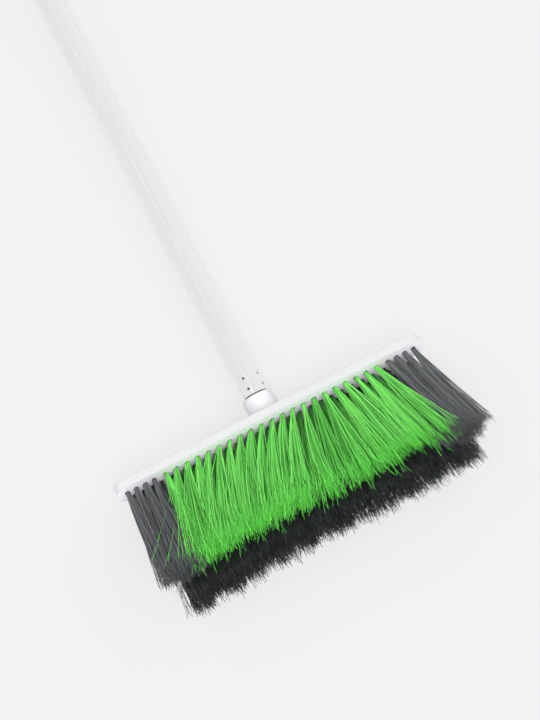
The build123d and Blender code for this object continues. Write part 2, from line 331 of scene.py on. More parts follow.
# %% [markdown]
# ## Plastic
# The block and its socket are white plastic. Faces that look the way the bristles point get a lighter
# colour, a painted light, so the underside between the bristles shows brighter. The insert and the cap are
# dark plastic. Moulded plastic isn't quite even: it has a fine grain and faint clouds. One recipe makes both
# plastics, because only their numbers differ.

# %% Plastic
cloud_scale = 60
dullness_scale = 220
grain_scale = 1800


def lighter_below(tree, colour, painted_light):
    """A colour that gets lighter, as painted light, where a face looks the way the bristles point."""
    normal = add_node(tree, "ShaderNodeTexCoord").outputs["Normal"]
    facing = add_node(tree, "ShaderNodeVectorMath", operation="DOT_PRODUCT")
    feed(tree, facing.inputs[0], normal)
    feed(tree, facing.inputs[1], -out_of_top)
    return tinted(tree, calc(tree, "MAXIMUM", facing.outputs["Value"], 0.0), colour, painted_light)


def moulded_plastic(name, low, high, roughness, grain_depth, gloss, painted_light=None):
    """Plastic from a mould: faint clouds in its colour, and a fine grain. It may get a painted light below.
    """
    material, tree, shader = new_finish(name)
    colour = tinted(tree, noise(tree, cloud_scale, detail=4), low, high)
    if painted_light:
        colour = lighter_below(tree, colour, painted_light)
    feed(tree, shader.inputs["Base Color"], colour)
    feed(tree, shader.inputs["Roughness"], between(tree, noise(tree, dullness_scale, detail=3), *roughness))
    feed(tree, shader.inputs["Normal"], bumpy(tree, noise(tree, grain_scale, detail=3), grain_depth))
    shader.inputs["Specular IOR Level"].default_value = gloss
    return material


white_plastic = moulded_plastic(
    "white_plastic",
    low=(0.565, 0.573, 0.585),
    high=(0.60, 0.605, 0.612),
    roughness=(0.34, 0.46),
    grain_depth=0.00002,
    gloss=0.2,
    # A lighter colour, painted light, on faces towards the bristles.
    painted_light=(0.88, 0.86, 0.91),
)
dark_plastic = moulded_plastic(
    "dark_plastic",
    low=(0.016, 0.016, 0.018),
    high=(0.026, 0.026, 0.028),
    roughness=(0.55, 0.7),
    grain_depth=0.00003,
    gloss=0.5,
)
print("finishes", white_plastic.name, "and", dark_plastic.name)

# %% [markdown]
# ## Paint and wire
# The tube is painted steel. Paint is glossier than plastic, with a slight orange peel, and use has left dull
# scuffs along the tube. Stretching the noise along one axis turns its grain into such scuffs. The wire that
# holds each tuft in its hole is brass, and hardly shows.

# %% Paint and wire
scuff_scale = 90
scuff_stretch = (4, 0.12, 4)
scuffed_paint = (0.555, 0.565, 0.562)
clean_paint = (0.58, 0.59, 0.587)
peel_scale = 320
peel_depth = 0.000004
wire_scale = 400
wire_wear_scale = 700
dull_brass = (0.55, 0.44, 0.22)
bright_brass = (0.68, 0.57, 0.33)


def tube_paint():
    """White gloss paint on steel: orange peel, and dull scuffs that run along the tube."""
    material, tree, shader = new_finish("white_paint")
    scuffs = noise(tree, scuff_scale, detail=5, stretch=scuff_stretch)
    feed(tree, shader.inputs["Base Color"], tinted(tree, scuffs, scuffed_paint, clean_paint))
    feed(tree, shader.inputs["Roughness"], between(tree, scuffs, low=0.14, high=0.2))
    feed(tree, shader.inputs["Normal"], bumpy(tree, noise(tree, peel_scale), peel_depth))
    shader.inputs["Diffuse Roughness"].default_value = 1.0
    return material


def drawn_wire():
    """Drawn brass wire."""
    material, tree, shader = new_finish("anchor_wire")
    feed(tree, shader.inputs["Base Color"], tinted(tree, noise(tree, wire_scale), dull_brass, bright_brass))
    feed(tree, shader.inputs["Roughness"], between(tree, noise(tree, wire_wear_scale), low=0.25, high=0.4))
    shader.inputs["Metallic"].default_value = 1.0
    return material


white_paint = tube_paint()
anchor_wire = drawn_wire()
print("finishes", white_paint.name, "and", anchor_wire.name)

# %% [markdown]
# ## Bristle finishes
# Each bristle has a tone of its own. The split ends have another one, and painted shade darkens the roots
# where the rows stand close. Noise would mottle every strand instead of setting it apart from the next one.
# So the finish reads three numbers that the bristles get while they grow: tone, reach and painted shade.

# %% Bristle finishes
end_sharpness = 12.0
deep_roughness = 0.42
bright_roughness = 0.3


def bristle_finish(name, deep, bright, tip, root):
    """Bristle: each strand's own tone, from deep to bright, split ends, and painted shade at the roots."""
    material, tree, shader = new_finish(name)
    tone = add_node(tree, "ShaderNodeAttribute", attribute_name="tone").outputs["Fac"]
    reach = add_node(tree, "ShaderNodeAttribute", attribute_name="reach").outputs["Fac"]
    painted_shade = add_node(tree, "ShaderNodeAttribute", attribute_name="painted_shade").outputs["Fac"]
    # Painted shade: the root colour darkens the roots by the stored amount.
    root_shaded = tinted(tree, painted_shade, tinted(tree, tone, deep, bright), root)
    ends = calc(tree, "POWER", reach, end_sharpness)
    feed(tree, shader.inputs["Base Color"], tinted(tree, ends, root_shaded, tip))
    feed(tree, shader.inputs["Roughness"], between(tree, tone, deep_roughness, bright_roughness))
    return material


# The root colours are painted shade, laid on where rows stand close.
green_bristle = bristle_finish(
    "green_bristles",
    deep=(0.014, 0.27, 0.009),
    bright=(0.29, 0.99, 0.19),
    tip=(0.19, 0.85, 0.12),
    root=(0.008, 0.10, 0.02),
)
grey_bristle = bristle_finish(
    "grey_bristles",
    deep=(0.010, 0.011, 0.012),
    bright=(0.215, 0.225, 0.235),
    tip=(0.11, 0.115, 0.12),
    root=(0.012, 0.013, 0.014),
)
dark_bristle = bristle_finish(
    "dark_bristles",
    deep=(0.003, 0.004, 0.004),
    bright=(0.046, 0.052, 0.054),
    tip=(0.045, 0.048, 0.05),
    root=(0.004, 0.005, 0.005),
)
print("finishes", green_bristle.name, "and", grey_bristle.name, "and", dark_bristle.name)

# %% [markdown]
# ## Finishes on the CAD pieces
# The block, the socket, the tube, the insert, the cap and the wire anchors are already right as solids. They
# could be modelled again with finer faces, but then they might not fit each other any more. So they stay as
# they are, and each only gets its finish.

# %% Finishes on the CAD pieces
carried_over = {
    "head_block": white_plastic,
    "handle_socket": white_plastic,
    "handle_tube": white_paint,
    "threaded_insert": dark_plastic,
    "hanging_cap": dark_plastic,
}
carried_over.update({name: anchor_wire for name in frame["nodes"] if name.endswith("_anchors")})
for name, material in carried_over.items():
    mesh = frame["nodes"][name].data
    mesh.materials.clear()
    mesh.materials.append(material)
print("finished CAD nodes", sorted(carried_over))

# %% [markdown]
# ## Where the tufts stand
# The tufts stand in five rows, and every second row is set half a pitch over. The ends of a row stand
# closer together than its middle. Their places could be read back from the CAD tufts, but a rule with a few
# numbers is easier to follow.

# %% Where the tufts stand
rows = {"front": -2, "second": -1, "third": 0, "fourth": 1, "fifth": 2}
row_pitch = 0.0098
tuft_pitch = 0.0104
middle_steps = 10
end_pitch = 0.0086
end_counts = {"front": 4, "rear": 3}
first_end = 0.1154


def half_of(row):
    """Whether a row is one of the combed front rows or a rear one."""
    return "front" if row < 0 else "rear"


def tuft_places(row):
    """Places of a row's tufts along the head: its left end, its middle and its right end."""
    odd = row % 2
    set_over = odd * tuft_pitch / 2
    middle = [tuft_pitch * i - set_over for i in range(odd - middle_steps, middle_steps + 1)]
    right = [first_end + end_pitch * i - set_over for i in range(end_counts[half_of(row)])]
    return {"left": [-x for x in reversed(right)], "middle": middle, "right": right}


tuft_total = sum(len(places) for row in rows.values() for places in tuft_places(row).values())
print("tufts in all", tuft_total)

# %% [markdown]
# ## How the tufts lie
# A tuft is described by its root, by how far its middle bristle's tip lies from it and by how much it is
# bent. The front rows have been combed: from the left end on they lean left, most at their roots, then they
# swing round and lean right. The rows also flare apart, so the front ones come forward. Each row's roots
# become a mesh of bare points that carry these facts, because Geometry Nodes can read them there.

# %% How the tufts lie
head_length = 0.300
bristle_length = 0.100
outer_rows = (rows["front"], rows["fifth"])
row_flare = 0.0117
outer_flare = 0.78
# Pairs of a place along the head, from -1 at its left end to 1 at its right end, and a value there. The
# comb says how far tips lie to the side, the bend how soon, and the trim how much of the length is left.
comb = {
    "front": [
        (-1.0, -0.001), (-0.75, -0.004), (-0.68, -0.010), (-0.4, -0.031),
        (0.15, -0.033), (0.42, 0.003), (0.7, 0.019), (1.0, 0.006),
    ],
    "rear": [(-1.0, 0.009), (-0.4, -0.003), (0.1, -0.004), (0.66, 0.008), (1.0, 0.020)],
}
bend = {
    "front": [(-1.0, 1.0), (-0.5, 0.3), (0.15, 0.3), (0.5, 0.0), (0.7, -0.1), (1.0, -0.5)],
    "rear": [(-1.0, 0.0), (1.0, 0.0)],
}
trim = {
    "front": [
        (-1.0, 1.01), (-0.73, 1.01), (-0.7, 0.97), (0.2, 0.975), (0.5, 0.93),
        (0.62, 0.925), (0.7, 1.03), (0.75, 1.07), (1.0, 1.07),
    ],
    "rear": [(-1.0, 1.085), (-0.3, 1.015), (1.0, 1.025)],
}


def along(pairs, x):
    """The value at x, between the places of some pairs."""
    place = x / (head_length / 2)
    for (start, low), (end, high) in zip(pairs, pairs[1:]):
        if place <= end:
            break
    return low + (high - low) * (place - start) / (end - start)


def tuft_lay(x, row):
    """From a tuft's root to the tip of its middle bristle."""
    side = along(comb[half_of(row)], x)
    flare = row * row_flare * (outer_flare if row in outer_rows else 1)
    down = -math.sqrt(bristle_length**2 - side**2)
    return Vector((side, flare, down)) * along(trim[half_of(row)], x)


def tuft_roots(name, row, places):
    """A mesh of bare points, one at each tuft's root, that carry where its tip lies and how it is bent."""
    mesh = bpy.data.meshes.new(name)
    mesh.from_pydata([(x, row * row_pitch, 0) for x in places], [], [])
    mesh.attributes.new("lay", "FLOAT_VECTOR", "POINT")
    mesh.attributes.new("curl", "FLOAT", "POINT")
    for i, x in enumerate(places):
        mesh.attributes["lay"].data[i].vector = tuft_lay(x, row)
        mesh.attributes["curl"].data[i].value = along(bend[half_of(row)], x)
    return mesh


for name, row in rows.items():
    print(name, "row, its middle tuft's tip", list(tuft_lay(0, row)))

# %% [markdown]
# ## Trees with named inputs
# Modelling thousands of bristles by hand is hopeless, and hair particles can't be exported. Geometry Nodes
# trees grow them instead. Such a tree has named inputs for its sizes, so that one tree serves for every
# row. At its end, copies are made real and get their finish, because the export drops what is only an
# instance.

# %% Trees with named inputs


def new_recipe(name, sizes):
    """A Geometry Nodes tree with named inputs. Returns it, what it is given, and its result."""
    tree = bpy.data.node_groups.new(name, "GeometryNodeTree")
    tree.interface.new_socket("Geometry", in_out="INPUT", socket_type="NodeSocketGeometry")
    for label, value in sizes.items():
        kind = {int: "NodeSocketInt", float: "NodeSocketFloat"}.get(type(value), "NodeSocketMaterial")
        socket = tree.interface.new_socket(label, in_out="INPUT", socket_type=kind)
        socket.default_value = value
    tree.interface.new_socket("Geometry", in_out="OUTPUT", socket_type="NodeSocketGeometry")
    given = tree.nodes.new("NodeGroupInput").outputs
    result = tree.nodes.new("NodeGroupOutput").inputs[0]
    return tree, given, result


def end_recipe(tree, geometry, given, result):
    """Ends a tree: instances made real, and the finish put on."""
    real = add_node(tree, "GeometryNodeRealizeInstances", {"Geometry": geometry}).outputs[0]
    done = add_node(tree, "GeometryNodeSetMaterial", {"Geometry": real, "Material": given["Finish"]})
    feed(tree, result, done.outputs[0])


print("tree helpers", new_recipe.__name__, "and", end_recipe.__name__)

# %% [markdown]
# ## Points and chance
# Inside a tree, points are copied, and facts about each are kept on it as attributes, such as the number of
# its strand. Bristles differ by chance. Numbers drawn anew each time would grow another broom in each run,
# so every draw is fixed by the tree's seed, by the kind of draw and by who draws.

# %% Points and chance
# Each kind of random draw adds its own place in this list to the seed, counted from 1.
draws = [
    "clump out", "strand out", "tuft sway", "stray length", "stray turn", "curl",
    "wave start", "wave pace", "wave turn", "tone", "cut", "fibre length",
    "fibre spread", "fibre turn", "clump turn", "strand turn", "long end",
]


def attribute(tree, name, kind):
    """A stored attribute."""
    node = add_node(tree, "GeometryNodeInputNamedAttribute", {"Name": name}, data_type=kind)
    return socket_named(node.outputs, "Attribute")


def store(tree, geometry, name, kind, value):
    """Stores a value on each point. Returns the geometry."""
    inputs = {"Geometry": geometry, "Name": name, "Value": value}
    node = add_node(tree, "GeometryNodeStoreNamedAttribute", inputs, data_type=kind)
    return node.outputs["Geometry"]


def copies(tree, points, amount):
    """Copies each point. Returns the copies, and each copy's number."""
    inputs = {"Geometry": points, "Amount": amount}
    node = add_node(tree, "GeometryNodeDuplicateElements", inputs, domain="POINT")
    return node.outputs["Geometry"], node.outputs["Duplicate Index"]


def joined(tree, *pieces):
    """Several pieces of geometry as one."""
    node = add_node(tree, "GeometryNodeJoinGeometry")
    for piece in pieces:
        feed(tree, node.inputs[0], piece)
    return node.outputs[0]


def chance(tree, given, draw, who, low=0.0, high=1.0):
    """A random number for each strand, clump or tuft, fixed by the seed."""
    seed = calc(tree, "ADD", given["Seed"], draws.index(draw) + 1)
    inputs = {"Min": low, "Max": high, "ID": who, "Seed": seed}
    node = add_node(tree, "FunctionNodeRandomValue", inputs, data_type="FLOAT")
    return socket_named(node.outputs, "Value")


def any_turn(tree, given, draw, who):
    """A random angle."""
    return chance(tree, given, draw, who, high=2 * math.pi)


def across(tree, angle, length):
    """A vector square to the bristles, from its angle and its length."""
    x = calc(tree, "MULTIPLY", calc(tree, "COSINE", angle), length)
    y = calc(tree, "MULTIPLY", calc(tree, "SINE", angle), length)
    return add_node(tree, "ShaderNodeCombineXYZ", {"X": x, "Y": y}).outputs[0]


def total(tree, *vectors):
    """The sum of several vectors."""
    result = vectors[0]
    for vector in vectors[1:]:
        result = vector_calc(tree, "ADD", result, vector)
    return result


print(len(draws), "kinds of random draw")

# %% [markdown]
# ## A strand's path
# A bristle starts somewhere in its tuft's hole. From there the tuft opens like a fan, and the bristles of a
# clump stay close together. The comb has laid them over, a few stray far, and all are a little wavy. Drawn
# curves could show some of them, but not thousands that all differ. So a strand's path is the sum of these
# parts, worked out from its own random numbers at any reach from its root.

# %% A strand's path
clump_share = 0.65
bend_change = 0.2
stray_rarity = 30.0
wave_paces = (4.0, 9.0)


def clump_of(tree, given):
    """The number of the clump that a strand belongs to."""
    strand = attribute(tree, "strand", "INT")
    return calc(tree, "FLOOR", calc(tree, "DIVIDE", strand, given["Clump"]))


def run_ahead(tree, reach, bow):
    """How much of its way aside a strand has gone at a reach. A bow lets it go sooner."""
    sooner = calc(tree, "MULTIPLY_ADD", calc(tree, "SUBTRACT", 1.0, reach), bow, 1.0)
    return calc(tree, "MULTIPLY", reach, sooner)


def in_hole(tree, given):
    """A clump's place in a hole of radius 1, and the strand's place in its clump."""
    strand = attribute(tree, "strand", "INT")
    clump = clump_of(tree, given)
    clump_out = calc(tree, "SQRT", chance(tree, given, "clump out", clump))
    strand_out = calc(tree, "SQRT", chance(tree, given, "strand out", strand))
    clump_out = calc(tree, "MULTIPLY", clump_out, clump_share)
    strand_out = calc(tree, "MULTIPLY", strand_out, 1 - clump_share)
    in_tuft = across(tree, any_turn(tree, given, "clump turn", clump), clump_out)
    in_clump = across(tree, any_turn(tree, given, "strand turn", strand), strand_out)
    return in_tuft, in_clump


def lean(tree, given, reach):
    """How far the comb has laid a strand over."""
    change = chance(tree, given, "curl", attribute(tree, "strand", "INT"), -bend_change, bend_change)
    bow = calc(tree, "ADD", attribute(tree, "curl", "FLOAT"), change)
    aside = vector_calc(tree, "MULTIPLY", attribute(tree, "lay", "FLOAT_VECTOR"), (1, 1, 0))
    return vector_calc(tree, "SCALE", aside, run_ahead(tree, reach, bow))


def astray(tree, given):
    """How far a tuft sways and a strand strays by the time it gets to its tip."""
    strand = attribute(tree, "strand", "INT")
    tuft = attribute(tree, "tuft", "INT")
    sway = across(tree, any_turn(tree, given, "tuft sway", tuft), given["Tuft sway"])
    far = calc(tree, "POWER", chance(tree, given, "stray length", strand), stray_rarity)
    stray_length = calc(tree, "MULTIPLY_ADD", far, given["Stray"], given["Drift"])
    stray = across(tree, any_turn(tree, given, "stray turn", strand), stray_length)
    return vector_calc(tree, "ADD", sway, stray)


def spread(tree, given, reach, in_tuft, in_clump):
    """How far a strand has come away from its tuft's middle line, less from front to rear."""
    loose = vector_calc(tree, "SCALE", in_clump, given["Clump spread"])
    fan = vector_calc(tree, "SCALE", vector_calc(tree, "ADD", in_tuft, loose), given["Fan"])
    fan_open = vector_calc(tree, "SCALE", fan, run_ahead(tree, reach, given["Fan bow"]))
    apart = vector_calc(tree, "SCALE", astray(tree, given), reach)
    shares = {"X": 1.0, "Y": given["Flatness"], "Z": 1.0}
    flatter = add_node(tree, "ShaderNodeCombineXYZ", shares).outputs[0]
    return vector_calc(tree, "MULTIPLY", vector_calc(tree, "ADD", fan_open, apart), flatter)


def wave(tree, given, reach):
    """A strand's small waves."""
    strand = attribute(tree, "strand", "INT")
    start = any_turn(tree, given, "wave start", strand)
    pace = chance(tree, given, "wave pace", strand, *wave_paces)
    swing = calc(tree, "SINE", calc(tree, "MULTIPLY_ADD", reach, pace, start))
    size = calc(tree, "MULTIPLY", calc(tree, "MULTIPLY", swing, reach), given["Wave"])
    return across(tree, any_turn(tree, given, "wave turn", strand), size)


def strand_path(tree, given, reach):
    """Where a strand is at a reach from 0, its root, to 1, the longest tip."""
    tuft_root = add_node(tree, "GeometryNodeInputPosition").outputs[0]
    in_tuft, in_clump = in_hole(tree, given)
    root = vector_calc(tree, "SCALE", vector_calc(tree, "ADD", in_tuft, in_clump), given["Hole radius"])
    away = spread(tree, given, reach, in_tuft, in_clump)
    sideways = vector_calc(tree, "ADD", lean(tree, given, reach), away)
    deep = vector_calc(tree, "MULTIPLY", attribute(tree, "lay", "FLOAT_VECTOR"), (0, 0, 1))
    down = vector_calc(tree, "SCALE", deep, reach)
    return total(tree, tuft_root, root, sideways, down, wave(tree, given, reach))


print("a path is the sum of", [part.__name__ for part in (in_hole, lean, spread, astray, wave)])

# %% [markdown]
# ## Strands
# A tuft is a bundle of strands in one hole. Each tuft's root is copied once for each strand, and the copy
# gets what a strand keeps along its whole length: its number, its tone and the reach at which it is cut off.
# Worn bristles are ragged, so strands and clumps are cut at different reaches, and a few strands are longer.

# %% Strands
tone_bias = 0.6
long_end_rarity = 9.0


def numbered(tree, points, name):
    """Numbers all points, and keeps the numbers under a name."""
    return store(tree, points, name, "INT", add_node(tree, "GeometryNodeInputIndex").outputs[0])


def grow_strands(tree, given):
    """A point for each strand, with its tone and the reach at which it is cut off."""
    roots = add_node(tree, "GeometryNodeMeshToPoints", {"Mesh": given["Geometry"]}).outputs[0]
    strands, _ = copies(tree, numbered(tree, roots, "tuft"), given["Strands"])
    strands = numbered(tree, strands, "strand")
    strand = attribute(tree, "strand", "INT")
    tone = calc(tree, "POWER", chance(tree, given, "tone", strand), tone_bias)
    strands = store(tree, strands, "tone", "FLOAT", tone)
    half_ragged = calc(tree, "MULTIPLY", given["Ragged"], 0.5)
    cuts = [chance(tree, given, "cut", who, high=half_ragged) for who in (strand, clump_of(tree, given))]
    even_cut = calc(tree, "SUBTRACT", 1.0, calc(tree, "ADD", *cuts))
    longer = calc(tree, "POWER", chance(tree, given, "long end", strand), long_end_rarity)
    cut = calc(tree, "MULTIPLY_ADD", longer, given["Long ends"], even_cut)
    return store(tree, strands, "cut", "FLOAT", cut)


print("a strand starts as a point, made by", grow_strands.__name__)

# %% [markdown]
# ## Stems and split ends
# Each strand is copied once for each of its points, every point is put on the strand's path, and the points
# are joined to a curve. Broom bristles are split at their ends, so each stem ends in a few finer fibres that
# spread further. A stem that only gets thinner would look like a new bristle, not like a used one.

# %% Stems and split ends
taper = 0.3
fibre_overlap = 0.02
fibre_changes = (-0.03, 0.04)
fibre_spreads = (0.2, 1.0)
fibre_flare = 1.5


def share_of(tree, number, amount):
    """A point's place among an amount of points, from 0 for the first one to 1 for the last."""
    return calc(tree, "DIVIDE", number, calc(tree, "SUBTRACT", amount, 1))


def as_curves(tree, points, who, width):
    """Joins each strand's points to a curve of that width."""
    lines = add_node(tree, "GeometryNodePointsToCurves", {"Points": points, "Curve Group ID": who})
    inputs = {"Curve": lines.outputs["Curves"], "Radius": width}
    return add_node(tree, "GeometryNodeSetCurveRadius", inputs).outputs["Curve"]


def grow_stems(tree, given, strands, split):
    """The strands as curves, from the hole to where they split."""
    points, number = copies(tree, strands, given["Points"])
    share = share_of(tree, number, given["Points"])
    points = store(tree, points, "reach", "FLOAT", calc(tree, "MULTIPLY", share, split))
    reach = attribute(tree, "reach", "FLOAT")
    # Painted shade at the roots: strongest at the root, gone at the given reach.
    painted_light = calc(tree, "MINIMUM", calc(tree, "DIVIDE", reach, given["Painted shade end"]), 1.0)
    painted_shade = calc(tree, "MULTIPLY", calc(tree, "SUBTRACT", 1.0, painted_light), given["Painted shade"])
    points = store(tree, points, "painted_shade", "FLOAT", painted_shade)
    on_path = {"Geometry": points, "Position": strand_path(tree, given, reach)}
    points = add_node(tree, "GeometryNodeSetPosition", on_path).outputs[0]
    thinner = calc(tree, "MULTIPLY_ADD", reach, -taper, 1.0)
    width = calc(tree, "MULTIPLY", thinner, given["Strand radius"])
    return as_curves(tree, points, attribute(tree, "strand", "INT"), width)


def grow_fibres(tree, given, strands, split):
    """The fibres at the strands' ends as curves, which start a little inside the strands."""
    fibres, _ = copies(tree, strands, given["Fibres"])
    points, number = copies(tree, numbered(tree, fibres, "fibre"), given["Fibre points"])
    fibre = attribute(tree, "fibre", "INT")
    share = share_of(tree, number, given["Fibre points"])
    start = calc(tree, "SUBTRACT", split, fibre_overlap)
    change = chance(tree, given, "fibre length", fibre, *fibre_changes)
    length = calc(tree, "ADD", calc(tree, "SUBTRACT", attribute(tree, "cut", "FLOAT"), start), change)
    points = store(tree, points, "reach", "FLOAT", calc(tree, "MULTIPLY_ADD", share, length, start))
    aside = calc(tree, "MULTIPLY", calc(tree, "POWER", share, fibre_flare), given["Split spread"])
    aside = calc(tree, "MULTIPLY", aside, chance(tree, given, "fibre spread", fibre, *fibre_spreads))
    apart = across(tree, any_turn(tree, given, "fibre turn", fibre), aside)
    points = store(tree, points, "apart", "FLOAT_VECTOR", apart)
    path = strand_path(tree, given, attribute(tree, "reach", "FLOAT"))
    place = total(tree, path, attribute(tree, "apart", "FLOAT_VECTOR"))
    points = add_node(tree, "GeometryNodeSetPosition", {"Geometry": points, "Position": place}).outputs[0]
    return as_curves(tree, points, fibre, given["Fibre radius"])


print("a strand's curves are made by", grow_stems.__name__, "and", grow_fibres.__name__)

# %% [markdown]
# ## The bristle tree
# The whole tree grows strands from roots, stems and fibres from strands, and gives the curves a body. They
# could stay bare curves, but only a mesh can be exported, and three sides are enough for something this
# thin. The sizes are its named inputs, and each row may change them.

# %% The bristle tree
hole_radius = 0.0024
hole_fill = 0.9
section_sides = 3
bristle_sizes = {
    "Strands": 64,
    "Clump": 8,
    "Clump spread": 0.7,
    "Points": 7,
    "Fibres": 2,
    "Fibre points": 3,
    "Hole radius": hole_radius * hole_fill,
    "Fan": 0.011,
    "Fan bow": 0.4,
    "Flatness": 0.65,
    "Drift": 0.006,
    # Painted shade at the roots, and the reach where it ends.
    "Painted shade": 0.0,
    "Painted shade end": 0.35,
    "Tuft sway": 0.0035,
    "Stray": 0.014,
    "Wave": 0.0009,
    "Ragged": 0.10,
    "Long ends": 0.13,
    "Split": 0.92,
    "Split spread": 0.003,
    "Strand radius": 0.00034,
    "Fibre radius": 0.00014,
    "Seed": 1,
    "Finish": None,
}


def bristle_recipe():
    """The tree that grows bristles from tuft roots, which carry where their tips lie."""
    tree, given, result = new_recipe("Bristles", bristle_sizes)
    strands = grow_strands(tree, given)
    split = calc(tree, "MULTIPLY", attribute(tree, "cut", "FLOAT"), given["Split"])
    stems = grow_stems(tree, given, strands, split)
    tips = grow_fibres(tree, given, strands, split)
    size = {"Resolution": section_sides, "Radius": 1.0}
    section = add_node(tree, "GeometryNodeCurvePrimitiveCircle", size)
    inputs = {"Curve": joined(tree, stems, tips), "Profile Curve": section.outputs["Curve"]}
    inputs["Scale"] = add_node(tree, "GeometryNodeInputRadius").outputs[0]
    inputs["Fill Caps"] = True
    solid = add_node(tree, "GeometryNodeCurveToMesh", inputs).outputs[0]
    smooth = add_node(tree, "GeometryNodeSetShadeSmooth", {"Geometry": solid}).outputs[0]
    end_recipe(tree, smooth, given, result)
    return tree


bristles = bristle_recipe()
print("bristle recipe has", len(bristles.nodes), "nodes")

# %% [markdown]
# ## From a tree to a plain mesh
# A modifier that is still live can't ride on a body or be exported. So the tree is put on an object for a
# moment, its result is copied to a plain mesh, the mesh is moved to its place, and the object gets that
# mesh instead of the modifier.

# %% From a tree to a plain mesh


def grown(name, base, recipe, values, place):
    """A new object with the mesh that a recipe makes of a base mesh, moved to its place."""
    piece = bpy.data.objects.new(name, base)
    bpy.context.scene.collection.objects.link(piece)
    modifier = piece.modifiers.new(name, "NODES")
    modifier.node_group = recipe
    for item in recipe.interface.items_tree:
        if item.in_out == "INPUT" and item.name in values:
            modifier[item.identifier] = values[item.name]
    depsgraph = bpy.context.evaluated_depsgraph_get()
    mesh = bpy.data.meshes.new_from_object(piece.evaluated_get(depsgraph))
    mesh.name = name
    piece.modifiers.clear()
    piece.data = mesh
    mesh.transform(place)
    mesh.update()
    print(name, "has", len(mesh.polygons), "faces")
    return piece


print("helper", grown.__name__, "turns a recipe into a piece")

# %% [markdown]
# ## The tufts
# The two front rows are green with grey ends, and the three rear rows are almost black. The CAD tufts are
# smooth tapers, and no finish would make bristles of them. So each of their nodes is hidden, and a piece of
# grown bristles stands for it and is named after it.

# %% The tufts
seed_step = 100
row_seeds = {row: seed_step * (i + 1) for i, row in enumerate(rows.values())}
# How strongly painted shade darkens the roots of the rows behind the front one.
close_row_shade = 0.9
green_sizes = {"Strands": 60, "Clump": 6, "Fan bow": -0.1, "Clump spread": 0.5, "Strand radius": 0.0004}
grey_sizes = {
    "Strands": 96,
    "Fan": 0.0065,
    "Fan bow": 1.5,
    "Drift": 0.0045,
    "Stray": 0.008,
    "Long ends": 0.05,
    "Ragged": 0.08,
}
dark_sizes = {
    "Strands": 80,
    "Clump spread": 0.45,
    "Points": 6,
    "Fan": 0.0095,
    "Tuft sway": 0.0045,
    "Stray": 0.008,
    "Long ends": 0.06,
    "Ragged": 0.12,
    "Split": 0.93,
    "Fibre radius": 0.00018,
}


def plant(name, row, places, finish, sizes):
    """Grows the bristles of some tufts of a row in place of a CAD node."""
    # The front row gets no painted shade at its roots.
    painted_shade = 0.0 if row == rows["front"] else close_row_shade
    values = {"Finish": finish, "Seed": row_seeds[row], "Painted shade": painted_shade, **sizes}
    piece = grown(f"{name}_bristles", tuft_roots(name, row, places), bristles, values, head_place)
    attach(piece, "head")
    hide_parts(name)


for name, row in rows.items():
    places = tuft_places(row)
    if half_of(row) == "front":
        plant(f"{name}_row_left_grey_tufts", row, places["left"], grey_bristle, grey_sizes)
        plant(f"{name}_row_green_tufts", row, places["middle"], green_bristle, green_sizes)
        plant(f"{name}_row_right_grey_tufts", row, places["right"], grey_bristle, grey_sizes)
    else:
        whole_row = sum(places.values(), [])
        plant(f"{name}_row_dark_tufts", row, whole_row, dark_bristle, dark_sizes)

# %% [markdown]
# ## A few strays
# No broom stays tidy. A few green strands at the left have slipped out of the comb and lie slanting over
# the grey tufts. They could be drawn by hand, but they grow from the same tree, with one strand in each
# place and a lay of its own, so they are as wavy and split as the others.

# %% A few strays
# Each stray: where its root is along the front row, and where its tip lies from there.
strays = [
    (-0.0940, Vector((-0.054, -0.029, -0.088))),
    (-0.0950, Vector((-0.043, -0.030, -0.094))),
    (-0.0930, Vector((-0.036, -0.031, -0.098))),
]
stray_bend = -0.2
stray_seed = 7
stray_sizes = {
    "Strands": 1,
    "Fan": 0.004,
    "Drift": 0.002,
    "Stray": 0.0,
    "Wave": 0.001,
    "Strand radius": 0.0003,
    "Tuft sway": 0.0,
    "Long ends": 0.0,
    "Seed": stray_seed,
    "Finish": green_bristle,
}
stray_roots = tuft_roots("green_strays", rows["front"], [x for x, _ in strays])
for i, (_, lay) in enumerate(strays):
    stray_roots.attributes["lay"].data[i].vector = lay
    stray_roots.attributes["curl"].data[i].value = stray_bend
green_strays = grown("green_strays", stray_roots, bristles, stray_sizes, head_place)
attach(green_strays, "head")

# %% [markdown]
# ## The crimps
# The tube is locked on its insert by two rings of four pierced crimps, and the insert's dark plastic stands
# a little proud in each hole. Eight domes could be modelled one by one, but one is enough: Geometry Nodes
# put it at each crimp and point it outwards.

# %% The crimps
crimp_heights = (0.0073, 0.0178)
crimp_count = 4
first_crimp = -23
tube_radius = 0.011
plug_sunk = 0.0001
plug_sizes = {"Plug radius": 0.00115, "Height": 0.0006, "Finish": None}
across_handle = up_the_handle.cross(along_head)


def plug_recipe():
    """The tree that puts a dome at each point, turned outwards."""
    tree, given, result = new_recipe("Plugs", plug_sizes)
    ball = add_node(tree, "GeometryNodeMeshUVSphere", {"Segments": 16, "Rings": 8, "Radius": 1.0})
    ball = add_node(tree, "GeometryNodeSetShadeSmooth", {"Geometry": ball.outputs["Mesh"]}).outputs[0]
    size = {"X": given["Plug radius"], "Y": given["Plug radius"], "Z": given["Height"]}
    outwards = attribute(tree, "outwards", "FLOAT_VECTOR")
    turned = add_node(tree, "FunctionNodeAlignRotationToVector", {"Vector": outwards}, axis="Z").outputs[0]
    inputs = {"Points": given["Geometry"], "Instance": ball, "Rotation": turned}
    inputs["Scale"] = add_node(tree, "ShaderNodeCombineXYZ", size).outputs[0]
    domes = add_node(tree, "GeometryNodeInstanceOnPoints", inputs).outputs[0]
    end_recipe(tree, domes, given, result)
    return tree


